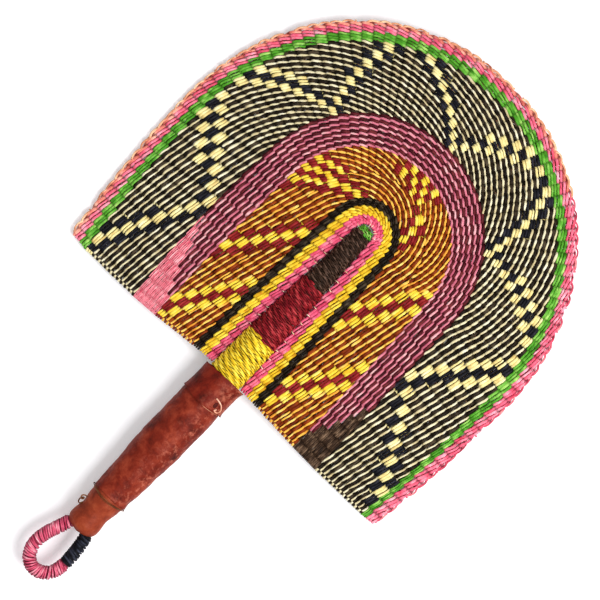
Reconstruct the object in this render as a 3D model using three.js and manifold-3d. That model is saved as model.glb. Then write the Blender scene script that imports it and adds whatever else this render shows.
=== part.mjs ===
// A woven straw hand fan: an arched blade of twined straw on a leather-covered handle with a wrist loop.
// Millimetres. +Y runs along the handle to the top of the arch, +Z up. The fan lies face up on its grip and
// rims.
import * as THREE from 'three';
import { mergeVertices } from 'three/addons/utils/BufferGeometryUtils.js';
import Module from 'manifold-3d';

const { clamp, degToRad, lerp } = THREE.MathUtils;

// The clearance that neighbouring pieces keep.
const GAP = 0.3;

// The blade is a stack of arched borders round the slot that holds the handle. Along Y they are measured
// from the foot of the blade. The sides start to close into an arch at a height, and the arch rises from
// there to its crown. A power of 2 makes the arch an ellipse, and more than that squares its shoulders. A
// foot has its half width, its height and how far the side above it bows out.
const SLOT = {
  half: 5.9,
  start: 115.4,
  rise: 6.3,
  power: 2,
  left: { half: 11.1, y: 3.9, bow: 0.4 },
  right: { half: 11.1, y: 3.6, bow: 0.4 },
};

// Bands of courses from the slot out: the width at the start of the arch, the width at the crown, how much
// lower the outer border's arch starts, its power, and at each foot the width, the drop and that border's
// bow. On a wide band the courses heap up into ridges.
const BANDS = [
  {
    name: 'inner_pink', side: 5.5, crown: 5.1, sink: 0.6, power: 2,
    left: [4.9, 0.1, 0.5], right: [4.9, 0, 0.5],
  },
  {
    name: 'yellow', side: 5.4, crown: 5.0, sink: 1.1, power: 2,
    left: [4.9, 0.2, 0.5], right: [4.9, 0.4, 0.5],
  },
  {
    name: 'black', side: 4.5, crown: 4.8, sink: 1.1, power: 2,
    left: [4.3, 0.4, 0.4], right: [4.3, 0.4, 0.4],
  },
  {
    name: 'gold', side: 30.8, crown: 26.9, sink: 0.6, power: 2,
    left: [27.2, 2.8, 1.1], right: [29.1, 1.8, 1.1],
  },
  {
    name: 'rose', side: 18.6, crown: 19.6, sink: 0.6, power: 2,
    left: [16.2, 1.0, 2.2], right: [18.1, 0.6, 0.3],
  },
  {
    name: 'natural', side: 43.8, crown: 38.4, sink: 8.9, power: 2.08, ridges: 4,
    left: [37.6, 0, 1.7], right: [36.1, 0, 1.7],
  },
  {
    name: 'green', side: 5.1, crown: 5.3, sink: 1.1, power: 2.08,
    left: [5.7, -0.8, 1.1], right: [3.4, -0.4, 1.1],
  },
  {
    name: 'rim', side: 5.6, crown: 5.6, sink: 0.6, power: 2.08,
    left: [5.7, -0.2, 1.4], right: [5.7, -0.2, 1.4],
  },
];

// A border has the number of the band inside it. These are the ones that the stakes bend at.
const borderOf = (name) => BANDS.findIndex((band) => band.name === name) + 1;
const BLACK = borderOf('black');
const GOLD = borderOf('gold');
const ROSE = borderOf('rose');
const NATURAL = borderOf('natural');
const RIM = borderOf('rim');

// Every band is a belt of straw that passes over and under the stakes and turns round at the feet.
const BELT_STRAW = 1.2;
const ROD_HALF_THICKNESS = 0.6;
const BELT_INSIDE = ROD_HALF_THICKNESS + GAP;
const BELT_OUTSIDE = BELT_INSIDE + BELT_STRAW;
const RIDGE_HEIGHT = 0.5;
const SIDE_STEPS = 4;
const CAP_STEPS = 20;
const FOOT_TURN = [45, 90, 135];

// Stakes: those on each side, those that fan out from the slot's tip, and as many that join between them.
// The rod that they grow from lies inside the inner band, at a share of its width.
const SIDE_STAKES = 17;
const TIP_STAKES = 12;
const STAKE_HALF_WIDTH = 0.55;
const STAKE_HALF_THICKNESS = 0.52;
const FORK_HALF_THICKNESS = 0.45;
const STAKE_STUB = 1.0;
const LOWEST_STAKE = 1.35;
const ROD_SHARE = 0.3;
const FORK_SHARE = 0.15;

// The solid blocks that end the rose band: the share of the side that they would reach, how fast they
// narrow, their share of the band at the foot, and the stake that each block's top turns round.
const LEFT_BLOCK = { reach: 0.67, bend: 1.5, share: 0.88, topStake: 9 };
const RIGHT_BLOCK = { reach: 0.53, bend: 1.3, share: 0.88, topStake: 7 };
const TURN_CLEARANCE = 0.8;
const BLOCK_STEPS = 6;
const STEP_BACK = [2.8, 5.6];

// Handle leather: the distance from each sleeve's top and the outside radius there. Their walls are even.
const LEATHER = 1.1;
const COLLAR = [[0, 13.4], [8.3, 13.3], [15.9, 13.35], [17.3, 13.5]];
const GRIP = [
  [0, 13.1], [12.7, 13.2], [33.7, 13.2], [41.7, 12.8], [48.7, 12.1], [63.7, 11.4], [70.7, 10.95],
  [74.1, 11.2],
];
const CAP = [
  [0, 10.9], [1.9, 10.0], [5.1, 9.9], [7.8, 9.3], [12.1, 8.6], [17.3, 9.5], [20.8, 9.8], [23.9, 8.6],
  [25.9, 5.6], [26.7, 0],
];
const CAP_SOLID_END = 6.8;
const RESTING_FLAT = 0.3;
const LATHE_SIDES = 20;
const CORE_SIDES = 16;
const CORE_TIP_RADIUS = 1.6;

// Windings on the handle. Each lies over a share of the way from the collar to the start of the slot's arch,
// with its own clearance from the slot's sides at both ends. Its straw's thickness, its loops and the steps
// of one loop follow. The tip's winding lies in the slot's arch.
const WINDING_START = 2.1;
const WINDINGS = [
  { name: 'winding_yellow', share: [0, 0.255], clear: [0.4, 0.4], straw: 1.0, loops: 19, steps: 10 },
  { name: 'winding_crimson', share: [0.271, 0.634], clear: [0.4, 0.4], straw: 1.2, loops: 22, steps: 10 },
  { name: 'winding_brown', share: [0.65, 0.991], clear: [1.2, 0.45], straw: 1.1, loops: 22, steps: 10 },
];
const TIP_WINDING = {
  name: 'winding_green', share: [0.08, 0.7], clear: [0.9, 0.9], straw: 0.9, loops: 3, steps: 10,
};
const STRAW_SIDES = 4;

// Wrist loop: its route from the left leg round to the right, as X and the distance past the cap's round
// end.
const LOOP_ROUTE = [
  [-5.3, 6.2], [-6.5, 1.2], [-8.2, -4.2], [-10.5, -10.6], [-12.0, -17.2], [-11.4, -23.8], [-8.1, -29.3],
  [-2.6, -31.6], [3.0, -29.8], [6.9, -25], [8.2, -18.6], [8.1, -12.2], [7.6, -6.2], [6.6, -0.6], [5.4, 6.2],
];
const LOOP_CORE_RADIUS = 2.4;
const LOOP_SIDES = 6;
const LOOP_STEPS = 36;
const LOOP_WINDINGS = [
  { name: 'loop_winding_pink', share: [0.085, 0.715], straw: 0.9, loops: 18, steps: 8 },
  { name: 'loop_winding_navy', share: [0.735, 0.935], straw: 0.9, loops: 10, steps: 8 },
];
const LEG_NOTCH_HEIGHT = 4.8;
const LEG_SIDES = 12;

// Cap tie: loops of thread between two distances from the cap's top.
const TIE = { between: [2.2, 4.9], straw: 0.45, loops: 3, steps: 12 };

// Curls that lie on the leather: distance from the sleeve's top, angle from +X and height above the leather.
const KNOT_RADIUS = 0.45;
const KNOT_ROUTE = [
  [8.7, 165, 0], [9.5, 168, 0.7], [10.7, 174, 1.4], [12.0, 178, 1.1], [12.6, 173, 0.3], [13.7, 166, 0],
];
const THONG_RADIUS = 0.55;
const THONG_ROUTE = [
  [7.7, 71, 0.1], [9.9, 66, 0.5], [10.9, 59, 0.9], [12.2, 51, 1.1], [14.4, 46, 0.6], [15.5, 53, 0.2],
];
const CURL_SIDES = 5;
const CURL_STEPS = 12;

const COLOURS = {
  handle_core: 0xc9b27c,
  grip_leather: 0x8c3a22,
  collar_leather: 0x8c3a22,
  cap_leather: 0xa8481f,
  collar_thong: 0xb89468,
  cap_tie_knot: 0xb89468,
  cap_tie: 0xb89468,
  loop_core: 0xc9b27c,
  stakes: 0xd9c9a0,
  courses_inner_pink: 0xe06a84,
  courses_yellow: 0xe0bc1e,
  courses_black: 0x2c221c,
  courses_gold: 0xc8801e,
  courses_rose: 0xa04a5c,
  courses_natural: 0x8d8468,
  courses_green: 0x4fa336,
  courses_rim: 0xe7788c,
  block_light_pink: 0xf0909c,
  block_brown: 0x3a2620,
  winding_yellow: 0xd8b81c,
  winding_crimson: 0x8c1d28,
  winding_brown: 0x3a2620,
  winding_green: 0x4fa336,
  loop_winding_pink: 0xe7788c,
  loop_winding_navy: 0x20222e,
};
const STRAW_ROUGHNESS = 0.85;
const WINDING_ROUGHNESS = 0.6;
const LEATHER_ROUGHNESS = 0.55;

const wasm = await Module();
wasm.setup();

// Every border, counted from the slot out.
function nextBorder(border, band) {
  const foot = (last, [width, drop, bow]) => ({ half: last.half + width, y: last.y - drop, bow });
  return {
    half: border.half + band.side,
    start: border.start - band.sink,
    rise: border.rise + band.crown + band.sink,
    power: band.power,
    left: foot(border.left, band.left),
    right: foot(border.right, band.right),
  };
}

const BORDERS = [SLOT];
BANDS.forEach((band) => BORDERS.push(nextBorder(BORDERS.at(-1), band)));

// The sleeves follow one another below the inner band's feet. The grip's flat lies on the surface.
const COLLAR_TOP = Math.min(SLOT.left.y, SLOT.right.y, BORDERS[1].left.y, BORDERS[1].right.y) - GAP;
const GRIP_TOP = COLLAR_TOP - COLLAR.at(-1)[0] - GAP;
const CAP_TOP = GRIP_TOP - GRIP.at(-1)[0] - GAP;
const CAP_END = CAP_TOP - CAP.at(-1)[0];
const CAP_FLOOR = CAP_END + CAP_SOLID_END;
const AXIS_HEIGHT = Math.max(...GRIP.map(([, radius]) => radius)) - RESTING_FLAT;

// The blade's sides droop, so that its rims rest on the surface beside the grip.
const SIDE_DROOP = AXIS_HEIGHT - BELT_OUTSIDE;

// How far up its side t lies, from 0 at the foot to 1 where the arch starts to close.
const wayUp = (t) => (t <= 1 ? t : 3 - t);

// A length along the slot's side as a step of t.
const toT = (length) => length / (SLOT.start - SLOT.left.y);

function sideHalf(border, foot, up) {
  const down = 1 - up;
  return border.half + (foot.half - border.half) * down + foot.bow * 4 * down * up;
}

// The mid-surface of the blade: a border's point at t, from 0 at the left foot to 3 at the right foot.
function borderPoint(border, t) {
  let x;
  let y;
  if (t > 1 && t < 2) {
    const angle = Math.PI * (2 - t);
    const squared = (value) => Math.sign(value) * Math.abs(value) ** (2 / border.power);
    x = border.half * squared(Math.cos(angle));
    y = border.start + border.rise * squared(Math.sin(angle));
  } else {
    const foot = t <= 1 ? border.left : border.right;
    x = sideHalf(border, foot, wayUp(t)) * (t <= 1 ? -1 : 1);
    y = lerp(foot.y + BELT_OUTSIDE, border.start, wayUp(t));
  }
  const z = AXIS_HEIGHT - SIDE_DROOP * (x / BORDERS[RIM].half) ** 2;
  return new THREE.Vector3(x, y, z);
}

// A point of the mid-surface between borders: course is a border's number or a value between two.
function bladePoint(course, t) {
  const inner = Math.min(Math.floor(course), RIM - 1);
  return borderPoint(BORDERS[inner], t).lerp(borderPoint(BORDERS[inner + 1], t), course - inner);
}

// The half width of the slot at a height.
function slotHalfAt(y) {
  if (y > SLOT.start) {
    return SLOT.half * Math.sqrt(1 - ((y - SLOT.start) / SLOT.rise) ** 2);
  }
  const foot = SLOT.left.y + BELT_OUTSIDE;
  return sideHalf(SLOT, SLOT.left, clamp((y - foot) / (SLOT.start - foot), 0, 1));
}

// Joins sections of equal point counts into one body, either as a closed ring or with flat ends.
function sweep(sections, closed) {
  const count = sections[0].length;
  const positions = sections.flat().flatMap((point) => point.toArray());
  const faces = [];
  const rings = closed ? sections.length : sections.length - 1;
  for (let ring = 0; ring < rings; ring += 1) {
    const here = ring * count;
    const next = ((ring + 1) % sections.length) * count;
    for (let side = 0; side < count; side += 1) {
      const other = (side + 1) % count;
      faces.push(here + side, next + side, next + other, here + side, next + other, here + other);
    }
  }
  if (!closed) {
    const last = (sections.length - 1) * count;
    for (let side = 1; side < count - 1; side += 1) {
      faces.push(0, side, side + 1, last, last + side + 1, last + side);
    }
  }
  return facingOut(positions, faces);
}

// Turns every face over where the faces as given enclose a negative volume.
function facingOut(positions, faces) {
  const at = (n) => new THREE.Vector3().fromArray(positions, n * 3);
  let volume = 0;
  for (let n = 0; n < faces.length; n += 3) {
    volume += at(faces[n]).dot(at(faces[n + 1]).cross(at(faces[n + 2])));
  }
  const geometry = new THREE.BufferGeometry();
  geometry.setAttribute('position', new THREE.Float32BufferAttribute(positions, 3));
  geometry.setIndex(volume < 0 ? faces.toReversed() : faces);
  return geometry;
}

// A geometry as a solid for joins and cuts, and a solid as a geometry.
function toSolid(geometry) {
  const bare = geometry.clone();
  bare.deleteAttribute('normal');
  bare.deleteAttribute('uv');
  const merged = mergeVertices(bare);
  return new wasm.Manifold(new wasm.Mesh({
    numProp: 3,
    vertProperties: new Float32Array(merged.attributes.position.array),
    triVerts: new Uint32Array(merged.index.array),
  }));
}

function toGeometry(solid) {
  const mesh = solid.getMesh();
  const geometry = new THREE.BufferGeometry();
  geometry.setAttribute('position', new THREE.BufferAttribute(mesh.vertProperties, 3));
  geometry.setIndex(new THREE.BufferAttribute(mesh.triVerts, 1));
  return geometry;
}

// Belts of courses.
const BELT_TS = [
  ...Array.from({ length: SIDE_STEPS }, (_, n) => n / SIDE_STEPS),
  ...Array.from({ length: CAP_STEPS + 1 }, (_, n) => 1 + n / CAP_STEPS),
  ...Array.from({ length: SIDE_STEPS }, (_, n) => 2 + (n + 1) / SIDE_STEPS),
];

// The skin of a ridged belt between its two edges: tops of ridges and the furrows between them, as places
// among the courses and heights.
function ridgeLine(inner, outer, ridges) {
  return Array.from({ length: 2 * ridges - 1 }, (_, n) => ({
    course: lerp(outer, inner, (n + 1) / (2 * ridges)),
    height: n % 2 === 0 ? BELT_OUTSIDE : BELT_OUTSIDE - RIDGE_HEIGHT,
  }));
}

// One cross-section of a belt. The angle is 0 on the front, 180 on the back and 90 at the foot's turn.
function beltSection(inner, outer, ridges, t, angle) {
  const a = bladePoint(inner(t), t);
  const b = bladePoint(outer(t), t);
  const across = b.clone().sub(a).setLength(GAP / 2);
  a.add(across);
  b.sub(across);
  const turn = degToRad(angle);
  const away = new THREE.Vector3(0, -Math.sin(turn), Math.cos(turn));
  const lift = (point, distance) => point.clone().addScaledVector(away, distance);
  const edge = ridges ? BELT_OUTSIDE - RIDGE_HEIGHT : BELT_OUTSIDE;
  const skin = ridges ? ridgeLine(inner(t), outer(t), ridges) : [];
  return [
    lift(a, BELT_INSIDE),
    lift(b, BELT_INSIDE),
    lift(b, edge),
    ...skin.map(({ course, height }) => lift(bladePoint(course, t), height)),
    lift(a, edge),
  ];
}

function belt(inner, outer, ts, ridges = 0) {
  const section = (t, angle) => beltSection(inner, outer, ridges, t, angle);
  const first = ts[0];
  const last = ts.at(-1);
  return sweep([
    ...ts.map((t) => section(t, 0)),
    ...FOOT_TURN.map((angle) => section(last, angle)),
    ...ts.toReversed().map((t) => section(t, 180)),
    ...FOOT_TURN.toReversed().map((angle) => section(first, angle)),
  ], true);
}

const sideStakeT = (number) => lerp(toT(LOWEST_STAKE), 1, number / SIDE_STAKES);
const blockTop = ({ topStake }) => sideStakeT(topStake) + toT(TURN_CLEARANCE);

// The rose band gives a block its share of the width. The share narrows up to the block's top, and over the
// steps past the top the band takes it back.
function roseOuter(t) {
  if (t > 1 && t < 2) return ROSE;
  const block = t <= 1 ? LEFT_BLOCK : RIGHT_BLOCK;
  const top = blockTop(block);
  const [stepStart, stepEnd] = STEP_BACK.map((past) => top + toT(past));
  const width = Math.min(1 - (Math.min(wayUp(t), top) / block.reach) ** block.bend, block.share);
  return ROSE - width * clamp((stepEnd - wayUp(t)) / (stepEnd - stepStart), 0, 1);
}

// A block is a short belt of its own. Both its ends turn round a stake, one below it and one above.
function blockBelt(footTs) {
  const section = (t, angle) => beltSection(roseOuter, () => ROSE, 0, t, angle);
  const upward = FOOT_TURN.map((angle) => 360 - angle);
  return sweep([
    ...footTs.map((t) => section(t, 0)),
    ...upward.map((angle) => section(footTs.at(-1), angle)),
    ...footTs.toReversed().map((t) => section(t, 180)),
    ...FOOT_TURN.toReversed().map((angle) => section(footTs[0], angle)),
  ], true);
}

// The rose band has the blocks' own steps beside them, so that both follow one edge.
function blockTs(block) {
  return Array.from({ length: BLOCK_STEPS + 1 }, (_, n) => (blockTop(block) * n) / BLOCK_STEPS);
}

const leftBlockTs = blockTs(LEFT_BLOCK);
const rightBlockTs = blockTs(RIGHT_BLOCK).map((t) => 3 - t);
const leftStepTs = STEP_BACK.map((past) => leftBlockTs.at(-1) + toT(past));
const rightStepTs = STEP_BACK.map((past) => rightBlockTs.at(-1) - toT(past));
const roseTs = [
  ...leftBlockTs,
  ...leftStepTs,
  ...BELT_TS.filter((t) => t > leftStepTs.at(-1) && t < rightStepTs.at(-1)),
  ...rightStepTs.toReversed(),
  ...rightBlockTs.toReversed(),
];

// Stakes: flat straws along lines of the blade, all growing from one rod round the slot.
function straw(points, halfThickness) {
  const corners = [[-1, -1], [1, -1], [1, 1], [-1, 1]];
  const sections = points.map((point, n) => {
    const before = points[Math.max(n - 1, 0)];
    const after = points[Math.min(n + 1, points.length - 1)];
    const along = after.clone().sub(before).normalize();
    const across = new THREE.Vector3(0, 0, 1).cross(along).setLength(STAKE_HALF_WIDTH);
    return corners.map(([side, rise]) => point.clone()
      .addScaledVector(across, side)
      .add(new THREE.Vector3(0, 0, rise * halfThickness)));
  });
  return sweep(sections, false);
}

function stake(places, halfThickness) {
  const points = places.map(([course, t]) => bladePoint(course, t));
  const end = points.at(-1);
  const stub = end.clone().sub(points.at(-2));
  stub.z = 0;
  return straw([...points, end.clone().add(stub.setLength(STAKE_STUB))], halfThickness);
}

function fullStake(t) {
  const courses = [ROD_SHARE, BLACK, GOLD, ROSE, NATURAL, RIM];
  return stake(courses.map((course) => [course, t]), STAKE_HALF_THICKNESS);
}

function forkedStake(t, middle) {
  const outward = [GOLD, ROSE, NATURAL, RIM].map((course) => [course, middle]);
  return stake([[BLACK + FORK_SHARE, t], ...outward], FORK_HALF_THICKNESS);
}

function stakes() {
  const lowest = toT(LOWEST_STAKE);
  const rodTs = BELT_TS.map((t) => clamp(t, lowest, 3 - lowest));
  const bodies = [straw(rodTs.map((t) => bladePoint(ROD_SHARE, t)), ROD_HALF_THICKNESS)];
  for (let n = 0; n < SIDE_STAKES; n += 1) {
    bodies.push(fullStake(sideStakeT(n)), fullStake(3 - sideStakeT(n)));
  }
  for (let n = 0; n <= TIP_STAKES; n += 1) {
    bodies.push(fullStake(1 + n / TIP_STAKES));
  }
  for (let n = 0; n < TIP_STAKES; n += 1) {
    bodies.push(forkedStake(1 + n / TIP_STAKES, 1 + (n + 0.5) / TIP_STAKES));
  }
  return toGeometry(wasm.Manifold.union(bodies.map(toSolid)));
}

// A straw wound round a line: one unbroken tube. Its two ends run straight on for one straw's thickness.
function winding({ placeAt, radiusAt, straw: thickness, loops, steps }) {
  const count = loops * steps;
  const places = Array.from({ length: count + 1 }, (_, n) => {
    const share = n / count;
    const turn = (2 * Math.PI * n) / steps;
    const { centre, side, up } = placeAt(share);
    const radial = side.clone().multiplyScalar(Math.cos(turn)).addScaledVector(up, Math.sin(turn));
    return { radial, point: centre.clone().addScaledVector(radial, radiusAt(share)) };
  });
  const straightOn = (inner, end) => {
    const run = end.point.clone().sub(inner.point).setLength(thickness);
    return { radial: end.radial, point: end.point.clone().add(run) };
  };
  const all = [straightOn(places[1], places[0]), ...places, straightOn(places.at(-2), places.at(-1))];
  const sections = all.map(({ radial, point }, n) => {
    const before = all[Math.max(n - 1, 0)].point;
    const after = all[Math.min(n + 1, all.length - 1)].point;
    return strawSection(point, after.clone().sub(before).normalize(), radial, thickness);
  });
  return { geometry: sweep(sections, false), points: all.map(({ point }) => point), thickness, steps };
}

// A square section of a straw, with one flat facing away from what it is wound on.
function strawSection(point, along, radial, thickness) {
  const reach = thickness / Math.SQRT2;
  const out = radial.clone().addScaledVector(along, -radial.dot(along)).normalize();
  const across = along.clone().cross(out);
  return Array.from({ length: STRAW_SIDES }, (_, side) => {
    const turn = ((side + 0.5) * 2 * Math.PI) / STRAW_SIDES;
    return point.clone()
      .addScaledVector(out, reach * Math.cos(turn))
      .addScaledVector(across, reach * Math.sin(turn));
  });
}

// The least gap between points of the tube that lie at least half a loop apart along it.
function leastGap({ points, thickness, steps }) {
  let least = Infinity;
  for (let a = 0; a < points.length; a += 1) {
    for (let b = a + Math.ceil(steps / 2); b < points.length; b += 1) {
      least = Math.min(least, points[a].distanceTo(points[b]) - thickness);
    }
  }
  return least;
}

// A faceted loop of straw dips between its corners. These turn the radius of its straw's middle into the
// radius of the core that it clears, and back.
function coreUnder(radius, { straw: thickness, steps }) {
  return radius * Math.cos(Math.PI / steps) - thickness / 2 - GAP;
}

function radiusOver(core, { straw: thickness, steps }) {
  return (core + GAP + thickness / 2) / Math.cos(Math.PI / steps);
}

// A winding round the handle's axis, between two heights and two radii of the middle of its straw.
function handleWinding(details) {
  const { heights, radii } = details;
  const side = new THREE.Vector3(0, 0, 1);
  const up = new THREE.Vector3(1, 0, 0);
  return winding({
    ...details,
    placeAt: (share) => ({ centre: new THREE.Vector3(0, lerp(...heights, share), AXIS_HEIGHT), side, up }),
    radiusAt: (share) => lerp(...radii, share),
  });
}

// Places a winding between the slot's sides, over its share of the way between two heights.
function inSlot(details, from, to) {
  const { share, clear, straw: thickness } = details;
  const heights = share.map((part) => lerp(from, to, part));
  const radii = heights.map((y, end) => slotHalfAt(y) + GAP / 2 - clear[end] - thickness / 2);
  return { ...details, heights, radii };
}

const handleWindings = [
  ...WINDINGS.map((details) => inSlot(details, COLLAR_TOP + WINDING_START, SLOT.start)),
  inSlot(TIP_WINDING, SLOT.start, SLOT.start + SLOT.rise),
];

// The wrist loop's core and what winds round it.
const loopPoint = ([x, y]) => new THREE.Vector3(x, CAP_END + y, AXIS_HEIGHT);
const loopCurve = new THREE.CatmullRomCurve3(LOOP_ROUTE.map(loopPoint));

function loopWinding(details) {
  const up = new THREE.Vector3(0, 0, 1);
  return winding({
    ...details,
    placeAt: (part) => {
      const along = lerp(...details.share, part);
      const side = loopCurve.getTangentAt(along).cross(up).normalize();
      return { centre: loopCurve.getPointAt(along), side, up };
    },
    radiusAt: () => radiusOver(LOOP_CORE_RADIUS, details),
  });
}

function tube(curve, radius, sides, steps) {
  const outline = Array.from({ length: sides }, (_, n) => {
    const turn = (2 * Math.PI * n) / sides;
    return new THREE.Vector2(radius * Math.cos(turn), radius * Math.sin(turn));
  });
  const extrude = { steps, bevelEnabled: false, extrudePath: curve };
  return new THREE.ExtrudeGeometry(new THREE.Shape(outline), extrude);
}

// Turned pieces. A profile is a list of heights and radii, from the bottom up on the outside.
function turned(profile, sides) {
  const points = profile.map(([y, radius]) => new THREE.Vector2(radius, y));
  return new THREE.LatheGeometry(points, sides).translate(0, 0, AXIS_HEIGHT);
}

const placed = (outside, top, inset = 0) => outside.map(([down, radius]) => [top - down, radius - inset]);

// A sleeve of leather, cut off at the surface. The cut leaves the flat that the fan rests on.
function sleeve(outside, top) {
  const outer = placed(outside, top).toReversed();
  const inner = placed(outside, top, LEATHER);
  const whole = toSolid(turned([...outer, ...inner, outer[0]], LATHE_SIDES));
  return toGeometry(whole.trimByPlane([0, 0, 1], 0));
}

// The core fills the sleeves, steps down under the windings and ends in the slot's arch.
function handleCore() {
  const inset = LEATHER + GAP;
  const butt = CAP_FLOOR + GAP;
  const overButt = CAP.filter(([down]) => CAP_TOP - down > butt);
  const inCap = Math.min(...overButt.map(([, radius]) => radius)) - inset;
  const inGrip = placed(GRIP, GRIP_TOP, inset).toReversed();
  const underCollar = Math.min(...[...COLLAR, GRIP[0]].map(([, radius]) => radius)) - inset;
  const underWindings = handleWindings.flatMap((details) => {
    const overrun = [-details.straw / 2, details.straw / 2];
    return details.heights.map((y, end) => [y + overrun[end], coreUnder(details.radii[end], details)]);
  });
  const [tipY] = underWindings.pop();
  return turned([
    [butt, 0],
    [butt, inCap],
    [CAP_TOP, inCap],
    ...inGrip.slice(0, -1),
    [GRIP_TOP, underCollar],
    [COLLAR_TOP, underCollar],
    ...underWindings,
    [tipY, CORE_TIP_RADIUS],
    [tipY, 0],
  ], CORE_SIDES);
}

// The cap is solid at its round end. The loop's legs run into it, and their windings lie in two notches.
function capLeather() {
  const outer = placed(CAP, CAP_TOP).toReversed();
  const inner = placed(CAP, CAP_TOP, LEATHER).filter(([y]) => y > CAP_FLOOR);
  const [, floorRadius] = inner.at(-1);
  let cap = toSolid(turned([...outer, ...inner, [CAP_FLOOR, floorRadius], [CAP_FLOOR, 0]], LATHE_SIDES));
  const [thick] = LOOP_WINDINGS;
  const notchRadius = radiusOver(LOOP_CORE_RADIUS, thick) + thick.straw / 2 + GAP;
  for (const [inside, outside] of [LOOP_ROUTE.slice(0, 2), LOOP_ROUTE.slice(-2).toReversed()]) {
    const from = loopPoint(inside);
    const along = loopPoint(outside).sub(from).normalize();
    cap = cap.subtract(leg(from, along, LOOP_CORE_RADIUS + GAP, CAP_FLOOR + LEATHER));
    cap = cap.subtract(leg(from, along, notchRadius, CAP_END + LEG_NOTCH_HEIGHT));
  }
  return toGeometry(cap);
}

// A rod along a leg of the loop, from a height down past the cap's end.
function leg(from, along, radius, top) {
  const length = 2 * CAP_SOLID_END;
  const turn = new THREE.Quaternion().setFromUnitVectors(new THREE.Vector3(0, 1, 0), along);
  const middle = from.clone().addScaledVector(along, (top - from.y) / along.y + length / 2);
  const rod = new THREE.CylinderGeometry(radius, radius, length, LEG_SIDES);
  return toSolid(rod.applyQuaternion(turn).translate(...middle));
}

// The outside radius of a sleeve at a distance from its top.
function outsideAt(outside, down) {
  const next = Math.max(outside.findIndex(([distance]) => distance >= down), 1);
  const [above, radiusAbove] = outside[next - 1];
  const [below, radiusBelow] = outside[next];
  return lerp(radiusAbove, radiusBelow, (down - above) / (below - above));
}

function curlOn(outside, top, route, radius) {
  const points = route.map(([down, angle, height]) => {
    const reach = outsideAt(outside, down) + GAP + radius + height;
    const turn = degToRad(angle);
    return new THREE.Vector3(reach * Math.cos(turn), top - down, AXIS_HEIGHT + reach * Math.sin(turn));
  });
  return tube(new THREE.CatmullRomCurve3(points), radius, CURL_SIDES, CURL_STEPS);
}

function capTie() {
  const radii = TIE.between.map((down) => radiusOver(outsideAt(CAP, down), TIE));
  const heights = TIE.between.map((down) => CAP_TOP - down);
  return handleWinding({ ...TIE, heights, radii });
}

// The fan, piece by piece.
const fan = new THREE.Group();

function add(name, geometry, roughness = STRAW_ROUGHNESS) {
  const material = new THREE.MeshStandardMaterial({ color: COLOURS[name], roughness, metalness: 0 });
  const mesh = new THREE.Mesh(geometry, material);
  mesh.name = name;
  fan.add(mesh);
}

function addWinding(name, wound) {
  console.log(`${name}: least gap to itself ${leastGap(wound).toFixed(2)} mm`);
  add(name, wound.geometry, WINDING_ROUGHNESS);
}

add('handle_core', handleCore());
add('grip_leather', sleeve(GRIP, GRIP_TOP), LEATHER_ROUGHNESS);
add('collar_leather', sleeve(COLLAR, COLLAR_TOP), LEATHER_ROUGHNESS);
add('cap_leather', capLeather(), LEATHER_ROUGHNESS);
add('collar_thong', curlOn(COLLAR, COLLAR_TOP, THONG_ROUTE, THONG_RADIUS));
add('cap_tie_knot', curlOn(CAP, CAP_TOP, KNOT_ROUTE, KNOT_RADIUS));
add('loop_core', tube(loopCurve, LOOP_CORE_RADIUS, LOOP_SIDES, LOOP_STEPS));
add('stakes', stakes());

BANDS.forEach(({ name, ridges }, inner) => {
  const isRose = inner + 1 === ROSE;
  const body = belt(() => inner, isRose ? roseOuter : () => inner + 1, isRose ? roseTs : BELT_TS, ridges);
  add(`courses_${name}`, body);
});
add('block_light_pink', blockBelt(leftBlockTs));
add('block_brown', blockBelt(rightBlockTs));

handleWindings.forEach((details) => addWinding(details.name, handleWinding(details)));
LOOP_WINDINGS.forEach((details) => addWinding(details.name, loopWinding(details)));
addWinding('cap_tie', capTie());

// Stands the fan with the middle of its outer box over the origin.
const box = new THREE.Box3().setFromObject(fan, true);
const middle = box.getCenter(new THREE.Vector3());
fan.children.forEach((mesh) => mesh.geometry.translate(-middle.x, -middle.y, -box.min.z));

export default fan;
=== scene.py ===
"""A woven straw hand fan that lies face up: dyed straw courses, wound handle, leather grip and wrist loop.

Lengths are in millimetres and turned into metres where a mesh is made. Y is measured from the blade's foot.
"""

import math

import bpy
import numpy as np
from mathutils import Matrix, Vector, noise
from mathutils.geometry import interpolate_bezier


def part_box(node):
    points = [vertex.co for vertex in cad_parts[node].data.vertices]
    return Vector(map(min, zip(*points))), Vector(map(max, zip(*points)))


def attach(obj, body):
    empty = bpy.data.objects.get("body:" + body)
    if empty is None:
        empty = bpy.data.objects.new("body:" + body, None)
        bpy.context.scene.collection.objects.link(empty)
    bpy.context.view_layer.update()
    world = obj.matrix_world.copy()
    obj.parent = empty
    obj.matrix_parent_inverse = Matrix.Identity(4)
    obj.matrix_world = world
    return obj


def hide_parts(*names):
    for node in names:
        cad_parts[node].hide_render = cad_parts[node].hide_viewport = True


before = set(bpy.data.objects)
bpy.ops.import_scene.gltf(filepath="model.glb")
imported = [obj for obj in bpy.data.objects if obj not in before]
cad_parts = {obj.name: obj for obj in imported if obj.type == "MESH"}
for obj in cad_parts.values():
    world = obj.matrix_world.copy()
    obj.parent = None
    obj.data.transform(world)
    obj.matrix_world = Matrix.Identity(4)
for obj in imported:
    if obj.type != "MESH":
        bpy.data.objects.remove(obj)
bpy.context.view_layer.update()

MM = 0.001
AXIS_HEIGHT = 12.9
COLLAR_TOP = 3.3

# The blade's foot in the row frame, from the collar's top edge above it.
FOOT_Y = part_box("collar_leather")[1].y / MM - COLLAR_TOP

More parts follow.
